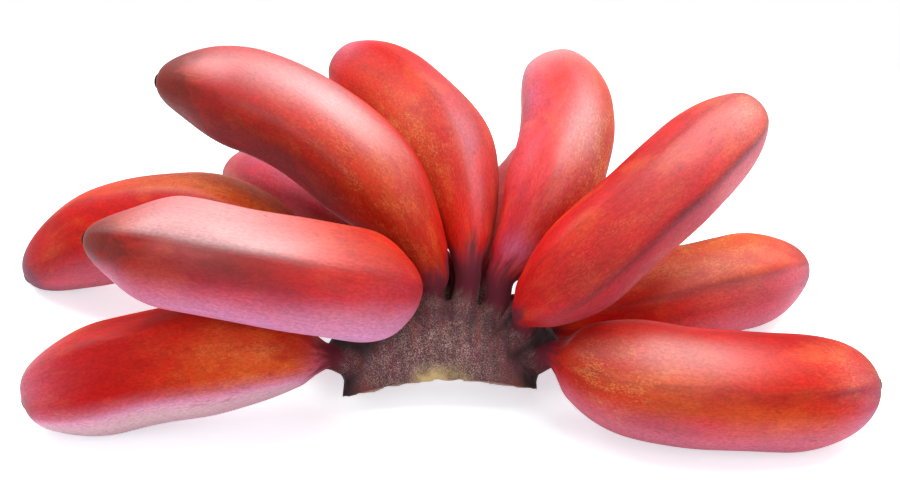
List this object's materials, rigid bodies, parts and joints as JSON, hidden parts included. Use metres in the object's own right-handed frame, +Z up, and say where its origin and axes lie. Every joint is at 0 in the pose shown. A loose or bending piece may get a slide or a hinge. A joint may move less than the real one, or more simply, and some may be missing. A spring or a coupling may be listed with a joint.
{
  "type": "red banana hand",
  "caption": "Hand of plump red bananas on short stalks, fanned out in rows from the cut crown and lying on its lowest fruits.",
  "frame": {"origin": "on the surface the hand lies on, in the middle of its footprint", "axes": "+X runs to the right along the crown's cut edge, +Y from that edge towards the tips at the back, +Z up"},
  "size_m": [0.3492, 0.1995, 0.1204],
  "materials": {
    "peel": "satin",
    "crown": "matte"
  },
  "bodies": {
    "root": {"crown": "crown", "banana_outer_1": "peel", "banana_outer_2": "peel", "banana_outer_3": "peel", "banana_outer_4": "peel", "banana_outer_5": "peel", "banana_outer_6": "peel", "banana_outer_7": "peel", "banana_inner_1": "peel", "banana_inner_2": "peel", "banana_inner_3": "peel", "banana_inner_4": "peel"}
  },
  "joints": []
}
